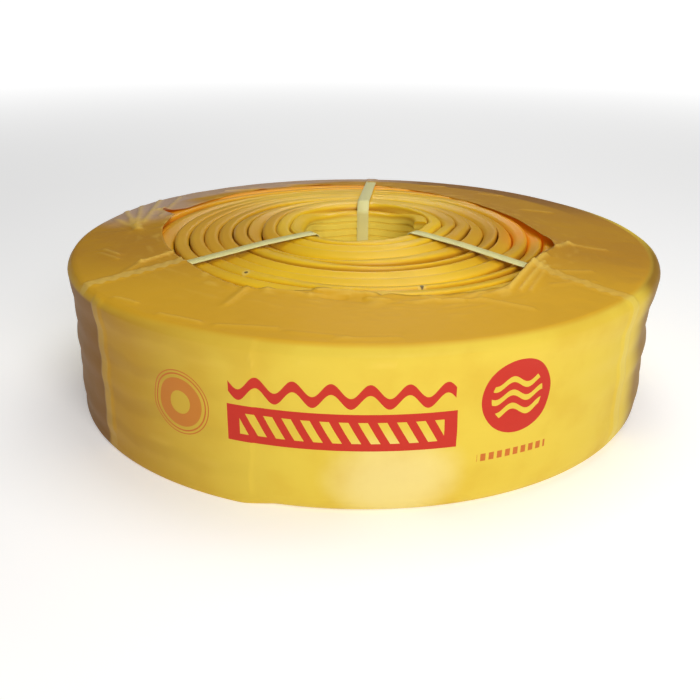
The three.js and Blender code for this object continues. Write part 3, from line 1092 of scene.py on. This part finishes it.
def film_material():
    """Glossy printed yellow packing film, with painted shade, a painted sheen, painted highlights on
    its folds and a painted reflection along the back
    """
    colours = settings().colours
    made, bench, shader = new_material("printed_film")
    place, x, y, z = object_place(bench)
    radius = bench.reach(x, y)
    arc = bench.math("ARCTAN2", x, -y) * settings().film.side_radius
    clouds = bench.speckle(place, 0.06, 4.0)

    def beside(direction):
        """Distance from the upright plane through the axis in a direction, more on its right"""
        turn = math.radians(direction)
        return x * math.sin(turn) - y * math.cos(turn)

    # Film on top, and film on the side. The top takes a darker copy of the film colour, painted shade,
    # darker still towards the back
    further_left = bench.ease(-x, 0.10, 0.25)
    on_top = bench.ease(z + further_left * 0.006, 0.150, 0.1525)
    on_top = on_top * (1 - bench.ease(radius - further_left * 0.005, 0.2965, 0.3035))
    down_side = 1 - on_top
    lap = bench.blend(bench.ease(y, -0.20, -0.06), colours.film_top_shaded, colours.film_back_shade)
    tone = bench.blend(on_top, colours.film, lap)
    tone = bench.blend(bench.ease(clouds, 0.4, 0.7) * 0.3, tone, darker(colours.film_top_shaded, 0.85))

    # Painted shade: the side is browner and banded round to the left. A painted sheen: a paler patch
    # low in front
    to_left = bench.ease(-x, 0.05, 0.25) * down_side * (1 - bench.ease(y, -0.09, 0.08))
    tone = bench.blend(to_left * 0.88, tone, colours.film_back_shade)
    bands = bench.ease(bench.sine(z * 170 + clouds * 5 + 0.4), -0.2, 1.0)
    tone = bench.blend(bands * to_left * 0.16, tone, colours.film_shade)
    # The painted sheen stands in for light reflected low in front
    sheen_arc, sheen_z = (arc - 0.028) / 0.062, (z - 0.035) / 0.045
    sheen_patch = 1 - bench.ease(sheen_arc * sheen_arc + sheen_z * sheen_z + clouds, 0.5, 1.7)
    below_rim = 1 - bench.ease(z, 0.143, 0.147)
    tone = bench.blend(sheen_patch * below_rim * 0.45, tone, colours.film_sheen_paint)

    # Painted shade: brown film past the left and the right crease, which ends before the back
    left_side = bench.ease(beside(LEFT_CREASE), -0.002, 0.004) * (x < 0.0)
    left_side = left_side * (1 - bench.ease(y, -0.09, 0.02))
    tone = bench.blend(left_side * below_rim * 0.8, tone, colours.film_shade)
    right_side = bench.ease(-beside(RIGHT_CREASE), -0.004, 0.046) * (x > 0.0)
    right_side = right_side * (1 - bench.ease(y, -0.07, 0.04))
    tone = bench.blend(right_side * down_side * 0.82, tone, colours.film_shade)

    # Straps that show through, with ragged edges
    ragged = bench.math("PINGPONG", radius, 0.006) * 0.35
    for on_lap, on_side, on_lap_shows, on_side_shows in STRAP_RIDGES:
        for direction, part, plainness in (
                (on_lap, on_top, on_lap_shows), (on_side, down_side, on_side_shows)):
            # Only the half of the plane that runs out in this direction
            outwards = beside(direction + 90) > 0.0
            band = 1 - bench.ease(abs(beside(direction)) + ragged, 0.0060, 0.0080)
            tone = bench.blend(band * outwards * part * plainness, tone, colours.strap)

    # Painted reflection: greyish film along the back rim and over the pleats at the back left, and
    # painted shade, browner, along the rim on the right
    wider = bench.ease(abs(x), 0.02, 0.12) * 0.014
    along_rim = bench.ease(radius + clouds * 0.012 + wider, 0.281, 0.292)
    along_rim = along_rim * bench.ease(y, 0.06, 0.18) * bench.ease(z, 0.125, 0.15)
    from_pleats = bench.reach(x + 0.258, y - 0.100) + clouds * 0.03
    pleats = (1 - bench.ease(from_pleats, 0.055, 0.105)) * on_top
    reflection_share = (along_rim * 0.8 + pleats * 0.72).at_most(0.9)
    reflection_tone = bench.blend(bench.ease(x, 0.0, 0.1) * 0.9, colours.film_reflection, colours.film_shade)
    tone = bench.blend(reflection_share, tone, reflection_tone)
    # Painted highlight: lighter film along the crests of the folds
    tone = bench.blend(bench.attribute("crest") * 0.42, tone, colours.film_fold_highlight)

    on_side = bench.ease(radius, 0.290, 0.296)
    red, brown = print_masks(bench, arc, z)
    tone = bench.blend(red * on_side, tone, colours.print_red)
    tone = bench.blend(brown * on_side, tone, colours.print_brown)
    wire_in(shader, "Base Color", tone)
    wire_in(shader, "Roughness", bench.scale(clouds, 0.40, 0.58))
    shader.inputs["Specular IOR Level"].default_value = 0.1
    stretched = bench.speckle(place, 0.009, 3.0, (1, 1, 2.6))
    creases = abs(bench.speckle(place, 0.030, 2.0) - 0.5)
    bump(shader, creases * (0.2 + on_top * 0.4) + stretched * 0.12, 0.0010)
    return made


class WATERSTOP_OT_wrap_film(bpy.types.Operator):
    """Wrap the printed film around the rim and over both faces"""

    bl_idname = "waterstop.wrap_film"
    bl_label = "Wrap film"

    def execute(self, context):
        mesh = film_mesh()
        mesh.materials.append(film_material())
        add_piece("wrapping_film", mesh, "wrap_film")
        return {"FINISHED"}


def add_light(name, place, power, wide, high, tint=(1, 1, 1)):
    """A soft light that faces the roll"""
    data = bpy.data.lights.new(name, "AREA")
    data.shape = "RECTANGLE"
    data.size, data.size_y = wide, high
    data.energy = power
    data.color = tint
    made = bpy.data.objects.new(name, data)
    made.location = place
    roll_middle = Vector((0, 0, 0.08))
    made.rotation_euler = (roll_middle - Vector(place)).to_track_quat("-Z", "Y").to_euler()
    bpy.context.scene.collection.objects.link(made)


def floor_material():
    """Pale floor that shines by itself, less near the roll so that a soft shadow shows"""
    made, bench, shader = new_material("pale_floor")
    colours = settings().colours
    _, x, y, _ = object_place(bench)
    away = bench.ease(bench.reach(x, y), 0.5, 4.0)
    wire_in(shader, "Emission Color", bench.blend(away, colours.floor_near, colours.floor_far))
    shader.inputs["Base Color"].default_value = colours.floor
    shader.inputs["Emission Strength"].default_value = settings().studio.floor_glow
    shader.inputs["Roughness"].default_value = 0.7
    return made


def add_floor(half):
    """The floor, as far as half each way"""
    mesh = bpy.data.meshes.new("floor")
    mesh.from_pydata(
        [(-half, -half, 0), (half, -half, 0), (half, half, 0), (-half, half, 0)], [], [(0, 1, 2, 3)])
    mesh.materials.append(floor_material())
    floor = bpy.data.objects.new("floor", mesh)
    bpy.context.scene.collection.objects.link(floor)


def studio_world():
    """White surroundings, weaker as light than as the camera sees them"""
    studio = settings().studio
    world = bpy.data.worlds.new("studio")
    world.use_nodes = True
    bench = Bench(world.node_tree)
    seen = bench.node("ShaderNodeLightPath")
    background = world.node_tree.nodes["Background"]
    background.inputs["Color"].default_value = (1, 1, 1, 1)
    strength = seen * (studio.backdrop - studio.surround) + studio.surround
    bench.tree.links.new(strength.socket, background.inputs["Strength"])
    return world


def add_camera():
    """The camera at the photograph's viewing angle"""
    studio = settings().studio
    data = bpy.data.cameras.new("camera")
    data.lens = studio.camera_lens
    data.sensor_width = 36
    data.shift_x = studio.camera_shift
    camera = bpy.data.objects.new("camera", data)
    camera.location = (0, -studio.camera_distance, studio.camera_height)
    camera.rotation_euler = (math.pi / 2 - studio.camera_pitch, 0, 0)
    camera.rotation_euler.rotate_axis("Z", studio.camera_roll)
    bpy.context.scene.collection.objects.link(camera)
    return camera


class WATERSTOP_OT_set_stage(bpy.types.Operator):
    """Set up the floor, the lights and the camera"""

    bl_idname = "waterstop.set_stage"
    bl_label = "Set stage"

    def execute(self, context):
        studio = settings().studio
        add_floor(half=30.0)
        context.scene.world = studio_world()
        add_light("key", (0.50, -1.7, 1.05), studio.key_power, 0.9, 0.7, tint=(1, 0.98, 0.95))
        add_light("back", (0.08, 1.7, 1.25), studio.back_power, 0.5, 0.3)
        add_light("top", (0.3, 0.2, 1.7), studio.top_power, 1.1, 1.1)
        context.scene.camera = add_camera()
        context.scene.view_settings.view_transform = "Standard"
        return {"FINISHED"}


class WATERSTOP_PG_roll(bpy.types.PropertyGroup):
    """All settings of the roll"""

    strip: PointerProperty(type=WATERSTOP_PG_strip)
    strap: PointerProperty(type=WATERSTOP_PG_strap)
    film: PointerProperty(type=WATERSTOP_PG_film)
    colours: PointerProperty(type=WATERSTOP_PG_colours)
    studio: PointerProperty(type=WATERSTOP_PG_studio)


class WATERSTOP_PT_roll(bpy.types.Panel):
    """Buttons and sizes of the roll"""

    bl_idname = "WATERSTOP_PT_roll"
    bl_label = "Waterstop roll"
    bl_space_type = "VIEW_3D"
    bl_region_type = "UI"
    bl_category = "Waterstop"

    def draw(self, context):
        for operator in OPERATORS:
            self.layout.operator(operator.bl_idname)
        for group in WATERSTOP_PG_roll.__annotations__:
            box = self.layout.box()
            box.label(text=group.capitalize())
            owner = getattr(settings(), group)
            for name in owner.__annotations__:
                box.prop(owner, name)


OPERATORS = (
    WATERSTOP_OT_wind_strip,
    WATERSTOP_OT_tie_straps,
    WATERSTOP_OT_wrap_film,
    WATERSTOP_OT_set_stage,
)
CLASSES = (
    WATERSTOP_PG_strip,
    WATERSTOP_PG_strap,
    WATERSTOP_PG_film,
    WATERSTOP_PG_colours,
    WATERSTOP_PG_studio,
    WATERSTOP_PG_roll,
    *OPERATORS,
    WATERSTOP_PT_roll,
)


def register():
    for made in CLASSES:
        bpy.utils.register_class(made)
    bpy.types.Scene.waterstop_roll = PointerProperty(type=WATERSTOP_PG_roll)


def unregister():
    del bpy.types.Scene.waterstop_roll
    for made in reversed(CLASSES):
        bpy.utils.unregister_class(made)


def main():
    register()
    bpy.ops.waterstop.wind_strip()
    bpy.ops.waterstop.tie_straps()
    bpy.ops.waterstop.wrap_film()
    bpy.ops.waterstop.set_stage()


if __name__ == "__main__":
    main()
